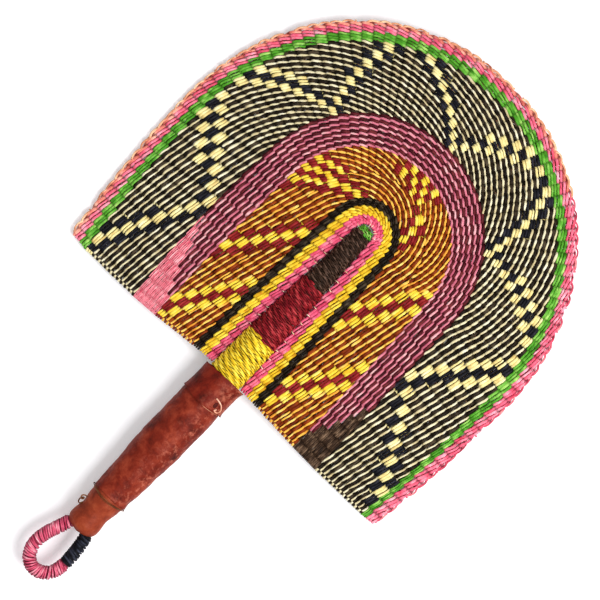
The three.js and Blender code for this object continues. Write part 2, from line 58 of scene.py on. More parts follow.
# The borders between the bands, from the slot out. SLOT is the first one: its half width where the sides
# start to close into the arch, that height, the arch's rise and power, and at each foot the half width, the
# height and how far the side bows out. Each band then adds its widths to the border inside it.
SLOT = (5.9, 115.4, 6.3, 2, (11.1, 3.9, 0.4), (11.1, 3.6, 0.4))
WIDTHS = {
    "inner_pink": (5.5, 5.1, 0.6, 2, (4.9, 0.1, 0.5), (4.9, 0, 0.5)),
    "yellow": (5.4, 5.0, 1.1, 2, (4.9, 0.2, 0.5), (4.9, 0.4, 0.5)),
    "black": (4.5, 4.8, 1.1, 2, (4.3, 0.4, 0.4), (4.3, 0.4, 0.4)),
    "gold": (30.8, 26.9, 0.6, 2, (27.2, 2.8, 1.1), (29.1, 1.8, 1.1)),
    "rose": (18.6, 19.6, 0.6, 2, (16.2, 1.0, 2.2), (18.1, 0.6, 0.3)),
    "natural": (43.8, 38.4, 8.9, 2.08, (37.6, 0, 1.7), (36.1, 0, 1.7)),
    "green": (5.1, 5.3, 1.1, 2.08, (5.7, -0.8, 1.1), (3.4, -0.4, 1.1)),
    "rim": (5.6, 5.6, 0.6, 2.08, (5.7, -0.2, 1.4), (5.7, -0.2, 1.4)),
}
BAND_NAMES = list(WIDTHS)
RIM_BORDER = len(BAND_NAMES)

# How far above the feet the courses turn round, how much lower the rim's sides lie than the axis, and how
# far from the feet towards the arch the lowest stakes are.
FOOT_LIFT = 2.1
SIDE_DROOP = 10.8
LOWEST_STAKE = 0.012


def borders():
    """One row for each border: half width, start, rise, power, then three values for each foot."""
    rows = [[*SLOT[:4], *SLOT[4], *SLOT[5]]]
    for side, crown, sink, power, left, right in WIDTHS.values():
        half, start, rise, _, left_half, left_y, _, right_half, right_y, _ = rows[-1]
        rows.append([
            half + side, start - sink, rise + crown + sink, power,
            left_half + left[0], left_y - left[1], left[2],
            right_half + right[0], right_y - right[1], right[2],
        ])
    return np.array(rows)


BORDERS = borders()


def blade(course, t):
    """Points in the blade's middle, from places among the borders and t, which is 0 to 3 foot to foot."""
    course = np.asarray(course, float)
    t = np.asarray(t, float)
    half, start, rise, power = (BORDERS[:, n, None] for n in range(4))
    left, right = t <= 1, t >= 2
    up = np.where(left, t, np.clip(3 - t, 0, 1))
    down = 1 - up
    left_foot, right_foot = BORDERS[:, 4:7, None], BORDERS[:, 7:10, None]
    foot_half, foot_y, bow = (np.where(left, left_foot[:, n], right_foot[:, n]) for n in range(3))
    side_x = half + (foot_half - half) * down + bow * 4 * down * up
    side_y = foot_y + FOOT_LIFT + (start - foot_y - FOOT_LIFT) * up
    angle = np.pi * (2 - np.clip(t, 1, 2))
    arch_x = np.sign(np.cos(angle)) * np.abs(np.cos(angle)) ** (2 / power)
    arch_y = np.abs(np.sin(angle)) ** (2 / power)
    arch = ~(left | right)
    x = np.where(arch, half * arch_x, np.where(left, -side_x, side_x))
    y = np.where(arch, start + rise * arch_y, side_y)
    inner = np.clip(np.floor(course), 0, RIM_BORDER - 1).astype(int)
    share = course - inner
    at = np.arange(len(t))
    px = x[inner, at] * (1 - share) + x[inner + 1, at] * share
    py = y[inner, at] * (1 - share) + y[inner + 1, at] * share
    pz = AXIS_HEIGHT - SIDE_DROOP * (px / BORDERS[RIM_BORDER, 0]) ** 2
    return np.stack([px, py, pz], 1)


def unit(vectors):
    return vectors / np.linalg.norm(vectors, axis=-1, keepdims=True)


def slot_half(y):
    """The slot's half width at a height."""
    half, start, rise, _, foot_half, foot_y, bow = BORDERS[0, :7]
    up = np.clip((y - foot_y - FOOT_LIFT) / (start - foot_y - FOOT_LIFT), 0, 1)
    down = 1 - up
    side = half + (foot_half - half) * down + bow * 4 * down * up
    arch = half * np.sqrt(np.clip(1 - ((y - start) / rise) ** 2, 0, 1))
    return np.where(y > start, arch, side)


class Band:
    """A part of a band that has the same stakes throughout.

    stakes are their counts on the left side, round the arch and on the right side. It has one straw, or two
    that take turns by courses, or four: light and dark for its stripes, then light and dark for its blocks.
    span is the part of the band's width that it takes.
    """

    def __init__(self, name, courses, stakes, colours, span=(0, 1), chains=(), open_rows=()):
        self.name = name
        self.inner = BAND_NAMES.index(name)
        self.courses = courses
        self.left, self.cap, self.right = stakes
        self.total = sum(stakes)
        self.colours = colours
        self.span = span
        self.cells = check_cells(chains, open_rows)

    def place(self, course):
        """Where a course lies among the borders, which count from 0 at the slot."""
        low, high = self.span
        return self.inner + low + (high - low) * course / self.courses

    def t(self, q):
        """t of stake number q, counted from the left foot. q may be a broken number."""
        q = np.asarray(q, float)
        left = LOWEST_STAKE + (1 - LOWEST_STAKE) * q / self.left
        right = 3 - LOWEST_STAKE - (1 - LOWEST_STAKE) * (self.total - q) / self.right
        cap = 1 + (q - self.left) / self.cap
        return np.where(q < self.left, left, np.where(q > self.left + self.cap, right, cap))


# Check patterns are worked in rows of three courses. A chain of blocks has a first and a last row, its
# middle's stake in both, and the stakes beside the middle that show the light straw and the dark one.
# Elsewhere the two straws take turns, which makes fine stripes.
ROW = 3
LIGHT, DARK = 0, 1
LIGHT_CHAIN = ((0,), (-1, 1))
DARK_CHAIN = ((-1, 1), (0,))
WIDE_CHAIN = ((0, 2, 4), (-1, 1, 3, 5))

# In these rows the natural band's chains lack the blocks that face the chain nearest to them.
OPEN_ROWS = (0, 2, 3)


def check_cells(chains, open_rows):
    """The blocks' straw for each (row, stake)."""
    cells = {}
    for first_row, last_row, first_stake, last_stake, (light, dark) in chains:
        count = abs(last_row - first_row)
        outward = 1 if last_row > first_row else -1
        for n in range(count + 1):
            row = first_row + outward * n
            stake = round(first_stake + (last_stake - first_stake) * n / max(count, 1))
            for straw, offsets in ((LIGHT, light), (DARK, dark)):
                for offset in offsets:
                    if row not in open_rows or offset * outward >= 0:
                        cells[row, stake + offset] = straw
    return cells


# The natural band's chains run inward and out again, from these stakes.
NATURAL_ZIGZAGS = [
    (1, LIGHT_CHAIN, DARK_CHAIN), (18, DARK_CHAIN, LIGHT_CHAIN), (35, LIGHT_CHAIN, DARK_CHAIN),
    (51, LIGHT_CHAIN, DARK_CHAIN), (68, DARK_CHAIN, LIGHT_CHAIN),
]
NATURAL_CHAINS = []
for start, inward, outward in NATURAL_ZIGZAGS:
    NATURAL_CHAINS.append((7, 0, start, start + 7, inward))
    NATURAL_CHAINS.append((1, 7, start + 7, start + 13, outward))

# The gold band's chains run inward from these stakes, but for two more in its outer part.
INNER_GOLD_STARTS = [
    (4, DARK_CHAIN), (11, LIGHT_CHAIN), (18, LIGHT_CHAIN), (28, LIGHT_CHAIN), (37, DARK_CHAIN),
    (45, DARK_CHAIN),
]
OUTER_GOLD_STARTS = [
    (1, DARK_CHAIN), (8, LIGHT_CHAIN), (16, WIDE_CHAIN), (52, DARK_CHAIN), (60, DARK_CHAIN),
]
INNER_GOLD_CHAINS = [(2, 0, start, start + 2, chain) for start, chain in INNER_GOLD_STARTS]
OUTER_GOLD_CHAINS = [(2, 0, start, start + 2, chain) for start, chain in OUTER_GOLD_STARTS]
OUTER_GOLD_CHAINS += [(2, 1, 33, 32, WIDE_CHAIN), (0, 0, 33, 33, ((2, 4), (1, 3)))]

GOLD_STRAWS = ("gold", "brick", "lemon", "crimson")
NATURAL_STRAWS = ("natural", "sable", "cream", "black")

# The stakes fork on their way out, so the counts on the left side, round the arch and on the right change.
SLOT_STAKES = (17, 14, 17)
BLACK_STAKES = (17, 16, 17)
INNER_GOLD_STAKES = (16, 18, 15)
OUTER_GOLD_STAKES = (16, 36, 15)
ROSE_STAKES = (14, 37, 14)
OUTER_STAKES = (13, 57, 13)

INNER_PINK = Band("inner_pink", 3, SLOT_STAKES, ("pink",))
YELLOW = Band("yellow", 3, SLOT_STAKES, ("yellow",))
BLACK = Band("black", 3, BLACK_STAKES, ("sable",))
INNER_GOLD = Band("gold", 9, INNER_GOLD_STAKES, GOLD_STRAWS, (0, 0.5), INNER_GOLD_CHAINS)
OUTER_GOLD = Band("gold", 9, OUTER_GOLD_STAKES, GOLD_STRAWS, (0.5, 1), OUTER_GOLD_CHAINS)
ROSE = Band("rose", 12, ROSE_STAKES, ("rose", "maroon"))
NATURAL = Band("natural", 24, OUTER_STAKES, NATURAL_STRAWS, (0, 1), NATURAL_CHAINS, OPEN_ROWS)
GREEN = Band("green", 3, OUTER_STAKES, ("green",))
RIM = Band("rim", 3, OUTER_STAKES, ("rim_pink", "salmon"))

# The blocks at the rose band's feet have finer straw, so more courses fill the same width.
FINE_COURSES = 18
FINE_PINK = Band("rose", FINE_COURSES, ROSE_STAKES, ("light_pink",))
FINE_BROWN = Band("rose", FINE_COURSES, ROSE_STAKES, ("brown",))

# How many stakes each block takes in the inmost course, and how many more in each course further out.
LEFT_BLOCK = (2.25, 0.545)
RIGHT_BLOCK = (2.25, 0.42)


def put(name, data):
    """A new object in the scene."""
    obj = bpy.data.objects.new(name, data)
    bpy.context.scene.collection.objects.link(obj)
    return obj


def make_mesh(name, node, points, faces, materials, face_material=None, attributes=None):
    """A smooth mesh of four-sided faces on the fan's body.

    node is the CAD piece that it stands for.
    """
    mesh = bpy.data.meshes.new(name)
    mesh.vertices.add(len(points))
    shifted = (np.asarray(points) + (0, FOOT_Y, 0)) * MM
    mesh.vertices.foreach_set("co", shifted.astype(np.float32).ravel())
    faces = np.asarray(faces)
    mesh.loops.add(faces.size)
    mesh.loops.foreach_set("vertex_index", faces.ravel().astype(np.int32))
    mesh.polygons.add(len(faces))
    mesh.polygons.foreach_set("loop_start", np.arange(0, faces.size, faces.shape[1], dtype=np.int32))
    mesh.polygons.foreach_set("loop_total", np.full(len(faces), faces.shape[1], np.int32))
    if face_material is not None:
        mesh.polygons.foreach_set("material_index", np.asarray(face_material, np.int32))
    for key, (kind, field, values) in (attributes or {}).items():
        attribute = mesh.attributes.new(key, kind, "POINT")
        attribute.data.foreach_set(field, np.asarray(values, np.float32).ravel())
    mesh.update(calc_edges=True)
    mesh.validate()
    mesh.polygons.foreach_set("use_smooth", np.full(len(mesh.polygons), True))
    for material in materials:
        mesh.materials.append(material)
    obj = put(name, mesh)
    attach(obj, "root")
    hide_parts(node)


def grid_faces(rows, columns, steps):
    """Faces of a grid of closed rows. The last row's step, if it has one, leads to the first row."""
    here = np.arange(steps)[:, None] * columns
    after = np.arange(1, steps + 1)[:, None] % rows * columns
    column = np.arange(columns)
    other = (column + 1) % columns
    return np.stack([here + column, after + column, after + other, here + other], -1).reshape(-1, 4)


class Straws:
    """Gathers many swept straws into one mesh."""

    def __init__(self):
        self.points, self.faces, self.materials = [], [], []
        self.strands, self.shade_lifts = [], []
        self.count = 0

    def add(
        self, centres, out, half_width, half_thickness, seed, material=0, shade_lift=1.0, sides=6, closed=False,
    ):
        """Sweeps an oval section. out points away from what the straw lies on.

        material and lift are one value, or one for each ring. lift is 1 where the straw lies on top and 0 in
        the gaps, where painted shade darkens its material.
        """
        count = len(centres)
        if closed:
            along = np.roll(centres, -1, 0) - np.roll(centres, 1, 0)
        else:
            along = np.gradient(centres, axis=0)
        along = unit(along)
        across = unit(np.cross(along, out))
        upward = np.cross(across, along)
        turn = 2 * np.pi * (np.arange(sides) + 0.5) / sides
        width = np.broadcast_to(half_width, count)[:, None, None]
        thickness = np.broadcast_to(half_thickness, count)[:, None, None]
        rings = (
            centres[:, None]
            + across[:, None] * (np.cos(turn)[None, :, None] * width)
            + upward[:, None] * (np.sin(turn)[None, :, None] * thickness)
        )
        length = np.concatenate([[0], np.cumsum(np.linalg.norm(np.diff(centres, axis=0), axis=1))])
        strand = np.stack([np.repeat(length, sides), np.tile(turn, count), np.full(count * sides, seed)], 1)
        steps = count if closed else count - 1
        materials = np.broadcast_to(material, count)
        self.points.append(rings.reshape(-1, 3))
        self.faces.append(grid_faces(count, sides, steps) + self.count)
        self.materials.append(np.repeat(materials[:steps], sides))
        self.strands.append(strand)
        self.shade_lifts.append(np.repeat(np.broadcast_to(shade_lift, count), sides))
        if not closed:
            self.cap(count, sides, materials)
        self.count += count * sides

    def cap(self, count, sides, materials):
        """Closes both ends of an open straw with four-sided faces."""
        last = self.count + (count - 1) * sides
        for start, order, number in ((self.count, 1, materials[0]), (last, -1, materials[-1])):
            loop = (np.arange(sides) + start)[::order]
            ends = [[loop[0], *loop[n:n + 3]] for n in range(1, sides - 2, 2)]
            self.faces.append(np.array(ends))
            self.materials.append(np.full(len(ends), number))

    def build(self, name, node, colours):
        attributes = {
            "strand": ("FLOAT_VECTOR", "vector", np.concatenate(self.strands)),
            "shade_lift": ("FLOAT", "value", np.concatenate(self.shade_lifts)),
        }
        points = np.concatenate(self.points)
        faces = np.concatenate(self.faces)
        materials = [STRAW[colour] for colour in colours]
        make_mesh(name, node, points, faces, materials, np.concatenate(self.materials), attributes)


# Every straw has its own number, by which its dye differs from its neighbours'.
SEEDS = 500


def own_seed(random):
    return random.uniform(0, SEEDS)


def new_material(name):
    """A material, its node tree and its shader."""
    material = bpy.data.materials.new(name)
    material.use_nodes = True
    tree = material.node_tree
    tree.nodes.clear()
    output = tree.nodes.new("ShaderNodeOutputMaterial")
    shader = tree.nodes.new("ShaderNodeBsdfPrincipled")
    tree.links.new(shader.outputs[0], output.inputs[0])
    return material, tree, shader


def connect(tree, value, socket):
    """Gives an input a value, or links another node's output to it."""
    if isinstance(value, bpy.types.NodeSocket):
        tree.links.new(value, socket)
    else:
        socket.default_value = value


def fill(tree, node, **values):
    """Gives a node its settings and inputs by name."""
    for key, value in values.items():
        if hasattr(node, key):
            setattr(node, key, value)
        else:
            connect(tree, value, node.inputs[key.replace("_", " ")])


def new(tree, kind, **values):
    node = tree.nodes.new(kind)
    fill(tree, node, **values)
    return node


def calculate(tree, operation, *values):
    node = new(tree, "ShaderNodeMath", operation=operation)
    for value, socket in zip(values, node.inputs):
        connect(tree, value, socket)
    return node.outputs[0]


def remap(tree, source, low, high, to_low=0.0, to_high=1.0):
    """A value turned from one range to another and held inside it."""
    ranges = {"From_Min": low, "From_Max": high, "To_Min": to_low, "To_Max": to_high}
    return new(tree, "ShaderNodeMapRange", Value=source, **ranges).outputs[0]


def noise_texture(tree, source, **values):
    return new(tree, "ShaderNodeTexNoise", Vector=source, **values).outputs["Fac"]


def stretched(tree, source, factors):
    """A place with its three values multiplied by factors."""
    return new(tree, "ShaderNodeMapping", Vector=source, Scale=factors).outputs[0]


def bump(tree, height, strength, distance):
    return new(tree, "ShaderNodeBump", Height=height, Strength=strength, Distance=distance).outputs[0]


def srgb(value):
    """A colour as it looks on screen, as the linear colour that shaders take."""
    scaled = np.array(value) / 255
    linear = np.where(scaled <= 0.04045, scaled / 12.92, ((scaled + 0.055) / 1.055) ** 2.4)
    return tuple(linear.tolist())


def tone_ramp(tree, source, places, tones):
    """A colour ramp through tones as they look on screen."""
    node = tree.nodes.new("ShaderNodeValToRGB")
    for _ in places[2:]:
        node.color_ramp.elements.new(0.5)
    for element, place, tone in zip(node.color_ramp.elements, places, tones):
        element.position = place
        element.color = (*srgb(tone), 1)
    tree.links.new(source, node.inputs[0])
    return node.outputs[0]


# A straw's fibres and patches are noise in its length, turn and number, which these factors stretch. Its
# tones lie at places on the sum of both. Painted shade darkens it in the gaps, where its lift is low.
FIBRE_STRETCH = (0.35, 2.2, 1)
PATCH_STRETCH = (0.14, 0, 1)
FIBRE_STRENGTH = 0.5
STRAW_TONES = (0.52, 0.75, 0.96)
PAINTED_SHADE_LIFTS = (0.1, 0.7)
PAINTED_GAP_SHADE = 0.3
STRAW_ROUGHNESS = 0.5
SHINE = 0.1


def straw_material(name, *tones):
    """Dyed straw: the dye changes from straw to straw and along it, and fibres run lengthwise. Painted shade
    darkens it where its lift is low.
    """
    material, tree, shader = new_material(f"straw_{name}")
    strand = new(tree, "ShaderNodeAttribute", attribute_name="strand").outputs["Vector"]
    along_fibres = stretched(tree, strand, FIBRE_STRETCH)
    fibres = noise_texture(tree, along_fibres, Scale=1.6, Detail=3.0, Roughness=0.6)
    patches = noise_texture(tree, stretched(tree, strand, PATCH_STRETCH), Scale=1.0, Detail=2.0)
    changes = calculate(tree, "MULTIPLY_ADD", fibres, FIBRE_STRENGTH, patches)
    dye = tone_ramp(tree, changes, STRAW_TONES, tones)
    shade_lift = new(tree, "ShaderNodeAttribute", attribute_name="shade_lift").outputs["Fac"]
    # Painted shade: the dye is scaled down where the lift is low, in the gaps and where a straw passes
    # under.
    painted_shade = remap(tree, shade_lift, *PAINTED_SHADE_LIFTS, PAINTED_GAP_SHADE, 1.0)
    shaded = new(tree, "ShaderNodeVectorMath", operation="SCALE", Vector=dye, Scale=painted_shade)
    fill(tree, shader, Base_Color=shaded.outputs[0], Roughness=STRAW_ROUGHNESS)
    fill(tree, shader, Specular_IOR_Level=SHINE, Normal=bump(tree, fibres, 0.3, 0.0002))
    return material


# Leather: where its tones lie on its mottle, where its pale patches of painted sheen and rubbed wear show,
# in metres right of the axis, and its roughness on the mottle's dark and on its light.
LEATHER_TONES = (0.28, 0.5, 0.7)
SHEEN_AND_RUB_RANGE = (-0.003, 0.011)
LEATHER_ROUGHNESS = (0.65, 0.4)
GRAIN_STRENGTH = 0.5


def leather_material(name, dark, middle, light, sheen_and_worn_tone, sheen_and_rub_speckle):
    """Worn leather: mottled, with a fine grain, and pale to the right of the handle's axis with painted
    sheen and rubbed wear.
    """
    material, tree, shader = new_material(name)
    place = new(tree, "ShaderNodeTexCoord").outputs["Object"]
    mottle = noise_texture(tree, place, Scale=120.0, Detail=8.0, Roughness=0.66, Distortion=0.4)
    base = tone_ramp(tree, mottle, LEATHER_TONES, (dark, middle, light))
    speckle = noise_texture(tree, place, Scale=300.0, Detail=4.0, Roughness=0.72)
    right = new(tree, "ShaderNodeSeparateXYZ", Vector=place).outputs["X"]
    on_right = remap(tree, right, *SHEEN_AND_RUB_RANGE)
    # Painted sheen mixed with rubbed wear: pale speckled patches to the right of the axis, where the light
    # falls.
    sheen_and_rub = calculate(tree, "MULTIPLY", on_right, remap(tree, speckle, *sheen_and_rub_speckle))
    colour = new(tree, "ShaderNodeMix", data_type="RGBA", Factor=sheen_and_rub, A=base, B=(*srgb(sheen_and_worn_tone), 1))
    grain = new(tree, "ShaderNodeTexVoronoi", Vector=place, Scale=900.0).outputs["Distance"]
    height = calculate(tree, "MULTIPLY_ADD", grain, GRAIN_STRENGTH, speckle)
    roughness = remap(tree, mottle, 0, 1, *LEATHER_ROUGHNESS)
    fill(tree, shader, Base_Color=colour.outputs["Result"], Roughness=roughness)
    fill(tree, shader, Specular_IOR_Level=SHINE, Normal=bump(tree, height, 0.4, 0.0006))
    return material


# The dyes of the straws and threads: each one's dark, middle and light tone.
DYES = {
    "pink": ((186, 36, 74), (224, 88, 120), (242, 146, 162)),
    "loop_pink": ((160, 34, 64), (224, 96, 126), (252, 182, 194)),
    "rim_pink": ((196, 48, 74), (236, 108, 134), (252, 176, 190)),
    "salmon": ((150, 44, 44), (228, 128, 112), (250, 190, 168)),
    "yellow": ((184, 124, 14), (230, 190, 40), (246, 220, 84)),
    "sable": ((12, 7, 2), (26, 17, 9), (74, 62, 46)),
    "black": ((8, 8, 12), (18, 18, 24), (44, 44, 54)),
    "gold": ((214, 126, 36), (242, 184, 72), (252, 218, 120)),
    "lemon": ((214, 158, 24), (238, 206, 60), (250, 228, 118)),
    "brick": ((76, 18, 2), (116, 40, 4), (152, 66, 16)),
    "crimson": ((88, 12, 16), (128, 24, 26), (164, 50, 48)),
    "rose": ((172, 76, 98), (214, 120, 138), (244, 190, 190)),
    "maroon": ((44, 8, 14), (76, 18, 26), (114, 44, 46)),
    "natural": ((188, 168, 122), (218, 206, 164), (240, 234, 206)),
    "cream": ((208, 178, 108), (236, 220, 150), (248, 240, 192)),
    "green": ((44, 104, 16), (84, 160, 44), (168, 214, 108)),
    "light_pink": ((214, 80, 104), (240, 136, 150), (252, 190, 196)),
    "brown": ((22, 12, 6), (62, 43, 30), (138, 110, 86)),
    "navy": ((5, 6, 10), (14, 15, 22), (64, 68, 84)),
    "undyed": ((206, 176, 128), (238, 218, 176), (250, 242, 220)),
    "stub": ((160, 84, 60), (226, 160, 122), (248, 212, 170)),
    "stub_pink": ((130, 24, 44), (208, 78, 100), (246, 164, 160)),
    "handle_yellow": ((182, 132, 10), (236, 200, 38), (250, 230, 90)),
    "handle_crimson": ((82, 10, 18), (132, 20, 30), (196, 66, 70)),
    "handle_brown": ((24, 12, 6), (52, 34, 24), (120, 92, 78)),
    "cord_pink": ((70, 10, 28), (110, 24, 48), (150, 50, 74)),
    "cord_dark": ((6, 6, 8), (12, 12, 16), (26, 26, 32)),
    "thread": ((56, 26, 12), (100, 56, 30), (150, 100, 64)),
    "thong": ((176, 104, 78), (220, 158, 130), (244, 204, 180)),
    "raw_edge": ((150, 80, 56), (186, 112, 82), (212, 148, 116)),
    # Painted shade, not a dye: the dark inside of the hole in the collar.
    "hole_shade": ((48, 8, 4), (74, 16, 8), (100, 28, 18)),
}
STRAW = {name: straw_material(name, *tones) for name, tones in DYES.items()}

# Leathers: dark, middle and light tone, the pale tone of painted sheen and rubbed wear, and where on the
# speckle the last one shows.
HIDES = {
    "leather_collar": ((54, 8, 2), (104, 22, 8), (132, 42, 22), (182, 100, 76), (0.44, 0.7)),
    "leather_grip": ((58, 9, 3), (112, 30, 14), (146, 56, 34), (194, 108, 84), (0.52, 0.74)),
    "leather_cap": ((94, 30, 14), (134, 50, 27), (156, 70, 42), (172, 96, 64), (0.6, 0.8)),
    "handle_wood": ((40, 26, 10), (66, 46, 22), (92, 68, 38), (110, 84, 52), (0.5, 0.8)),
}
HIDE = {name: leather_material(name, *looks) for name, looks in HIDES.items()}

# A straw's half width between the stakes and on them, its least lift, which sets how much of its colour
# painted shade leaves where it dips, and how far it swings sideways. Widths and swings are shares of the
# course's width.
STRAW_SHAPE = {
    "natural": (0.24, 0.39, 0.42, 0.46),
    "sable": (0.7, 0.5, 0.15, 0.3),
    "gold": (0.33, 0.4, 0.5, 0.46),
    "brick": (0.7, 0.5, 0.15, 0.3),
    "rose": (0.43, 0.42, 0.6, 0.27),
    "maroon": (0.57, 0.54, 0.15, 0.27),
    "cream": (0.44, 0.52, 0.3, 0.38),
    "lemon": (0.44, 0.52, 0.3, 0.38),
    "rim_pink": (0.44, 0.42, 0.1, 0.42),
    "salmon": (0.48, 0.46, 0.2, 0.38),
    "light_pink": (0.42, 0.41, 0.55, 0.22),
    "brown": (0.58, 0.53, 0.1, 0.16),
}
USUAL_SHAPE = (0.52, 0.48, 0.2, 0.36)


# Twined courses: how far their straws swing over and under the stakes, their thickness, and how much their
# places and widths change at random.
SWING = 1.3
STRAW_THICKNESS = 1.3
STEPS = 8
WANDER = 0.09
WIDTH_CHANGE = 0.16
FOLD_STEPS = 4
FOLD_START = 0.5
FOLD_WIDTH = 0.45

# How far a fold reaches past its stake: at the blade's feet, and inside it, where two folds meet.
FOOT_REACHES = (0.8, 1.3)
FOOT_REACH = 1.1
MEETING_REACH = 3.3

# A step to a neighbouring place, a step that stays inside a border, and a half that is rounded down.
NEARBY = 0.002
JUST_INSIDE = 0.0001
HALFWAY = 1e-6


def front_straw(band, course, stake):
    """The number of the straw that lies in front at a stake, and of the one behind it."""
    cell = band.cells.get((course // ROW, stake))
    if cell is None:
        front = LIGHT if (stake + course) % 2 == 0 else DARK
        return front, 1 - front
    return 2 + cell, 3 - cell


def straw_numbers(band, course, q, first, forward):
    """Which straw one of a course's pair is at each q, so that the right one lies in front at each stake."""
    nearest = np.round(q - HALFWAY).astype(int)
    shown = np.array([front_straw(band, course, stake) for stake in range(nearest[0], nearest[-1] + 1)])
    return shown[nearest - nearest[0], (nearest - first + (0 if forward else 1)) % 2]


def surface(band, course, q):
    """Point, unit step along, unit step outward and normal of the blade at a course."""
    t = band.t(q)
    place = np.full(len(t), band.place(course + 0.5))
    along = unit(blade(place, np.clip(t + NEARBY, 0, 3)) - blade(place, np.clip(t - NEARBY, 0, 3)))
    outer = blade(place + NEARBY, t) - blade(place - NEARBY, t)
    normal = unit(np.cross(along, outer))
    return blade(place, t), along, np.cross(normal, along), normal


def pitch_at(band, q):
    """The distance between neighbouring courses."""
    t = band.t(q)
    outside = min(band.place(band.courses), band.inner + 1 - JUST_INSIDE)
    across = blade(np.full(len(t), outside), t) - blade(np.full(len(t), band.place(0)), t)
    return np.linalg.norm(across, axis=1) / band.courses


def swing(q, starts_front):
    """Height over the blade's middle and place across the course, both from -1 to 1, at stake q."""
    phase = np.pi * (q + (0 if starts_front else 1))
    over = np.cos(phase)
    return over * (1.5 - 0.5 * over ** 2), -np.sin(phase)


def fold(here, along, normal, arriving, far, reach):
    """Half a turn round an end stake, from face to face of the weave, and which way is out on it."""
    turn = np.pi * (np.arange(FOLD_STEPS) + 0.5) / FOLD_STEPS
    sense = np.sign(arriving)
    distance = far * (FOLD_START + reach * np.sin(turn))[:, None]
    points = here + along * distance + normal * (sense * SWING * np.cos(turn))[:, None]
    return points, normal * (far * np.cos(turn))[:, None] + along * (sense * np.sin(turn))[:, None]


def uneven(random, q, stakes, middle, spread):
    """Random values at the stakes, and between them for each q."""
    return np.interp(q, stakes, random.normal(middle, spread, len(stakes)))


def twined_course(straws, random, band, course, first, last, number=None, reaches=None):
    """One course from stake first to stake last: a pair of straws that pass over and under them in turn.

    The pair is joined round both end stakes. number gives both straws one material. reaches are the folds'
    at the last and at the first stake.
    """
    q = first + np.arange((last - first) * STEPS + 1) / STEPS
    here, along, outward, normal = surface(band, course, q)
    pitch = pitch_at(band, q)
    stakes = np.arange(first, last + 1)
    shapes = np.array([STRAW_SHAPE.get(colour, USUAL_SHAPE) for colour in band.colours])
    parts = []
    for forward, far in ((True, 1), (False, -1)):
        over, side = swing(q - first, forward)
        wander = uneven(random, q, stakes, 0, WANDER)
        change = uneven(random, q, stakes, 1, WIDTH_CHANGE)
        straw = np.full(len(q), 0 if number is None else number)
        if number is None and len(band.colours) > 1:
            straw = straw_numbers(band, course, q, first, forward)
        between, on_stake, least_shade_lift, sway = shapes[straw].T
        shift = (side * sway + wander) * pitch
        centre = here + normal * (over * SWING)[:, None] + outward * shift[:, None]
        width = pitch * (between + (on_stake - between) * np.abs(over)) * change
        # Painted shade: the straw darkens where it dips towards the stakes, down to its least lift.
        shade_lift = np.maximum(np.abs(over), least_shade_lift)
        order = slice(None, None, far)
        end = -1 if forward else 0
        reach = random.uniform(*FOOT_REACHES) if reaches is None else reaches[0 if forward else 1]
        turned, turned_out = fold(here[end], along[end], normal[end], over[end], far, reach)
        flat = np.ones(FOLD_STEPS)
        fold_width = flat * pitch[end] * FOLD_WIDTH
        parts.append((centre[order], normal[order] * far, width[order], straw[order], shade_lift[order]))
        parts.append((turned, turned_out, fold_width, np.full(FOLD_STEPS, straw[end]), flat))
    centres, outs, widths, numbers, shade_lifts = (np.concatenate(values) for values in zip(*parts))
    straws.add(centres, outs, widths, STRAW_THICKNESS / 2, own_seed(random), numbers, shade_lifts, closed=True)


def twined_piece(name, band, seed, courses, node=None):
    """A piece of a band. Each course has its number and end stakes, and may have its straw and reaches."""
    random = np.random.default_rng(seed)
    straws = Straws()
    for course in courses:
        twined_course(straws, random, band, *course)
    straws.build(name, node or f"courses_{band.name}", band.colours)


def full_piece(name, band, courses=None):
    """A piece of a band whose courses run from foot to foot."""
    courses = [(course, 0, band.total) for course in courses or range(band.courses)]
    twined_piece(name, band, sum(map(ord, name)), courses)


def block_stakes(block, course):
    at_inmost, per_course = block
    return int(at_inmost + per_course * course)


def rose_courses():
    """The rose band's courses run between the two blocks, pink and maroon in turn."""
    for course in range(ROSE.courses):
        first = block_stakes(LEFT_BLOCK, course)
        last = ROSE.total - block_stakes(RIGHT_BLOCK, course)
        yield course, first, last, course % 2, (MEETING_REACH, MEETING_REACH)


def block_courses(block, from_left):
    """The courses of the solid block at one foot of the rose band."""
    for course in range(FINE_COURSES):
        stakes = block_stakes(block, course * ROSE.courses // FINE_COURSES)
        if from_left:
            yield course, 0, stakes - 1, 0, (MEETING_REACH, FOOT_REACH)
        else:
            yield course, ROSE.total - stakes + 1, ROSE.total, 0, (FOOT_REACH, MEETING_REACH)


# How much of the rim, from its left foot, has the salmon course and the orange stake ends.
SALMON_SHARE = 0.62


def rim_courses():
    """The rim's outmost course is salmon straw from the left foot past the arch's top."""
    share = np.arange(RIM.total * STEPS + 1) / (RIM.total * STEPS)
    for course in range(RIM.courses):
        outmost = course == RIM.courses - 1
        yield course, 0, RIM.total, np.where(outmost & (share < SALMON_SHARE), 1, 0)


def make_weave():
    full_piece("weave_inner_pink", INNER_PINK)
    full_piece("weave_yellow", YELLOW)
    full_piece("weave_black", BLACK)
    full_piece("weave_gold_inner", INNER_GOLD)
    full_piece("weave_gold_outer", OUTER_GOLD)
    twined_piece("weave_rose", ROSE, 31, rose_courses())
    third = NATURAL.courses // 3
    for part in range(3):
        courses = range(part * third, (part + 1) * third)
        full_piece(f"weave_natural_{part + 1}", NATURAL, courses)
    full_piece("weave_green", GREEN)
    twined_piece("weave_rim", RIM, 8, rim_courses())
    left, right = block_courses(LEFT_BLOCK, True), block_courses(RIGHT_BLOCK, False)
    twined_piece("block_weave_pink", FINE_PINK, 5, left, "block_light_pink")
    twined_piece("block_weave_brown", FINE_BROWN, 5, right, "block_brown")


make_weave()


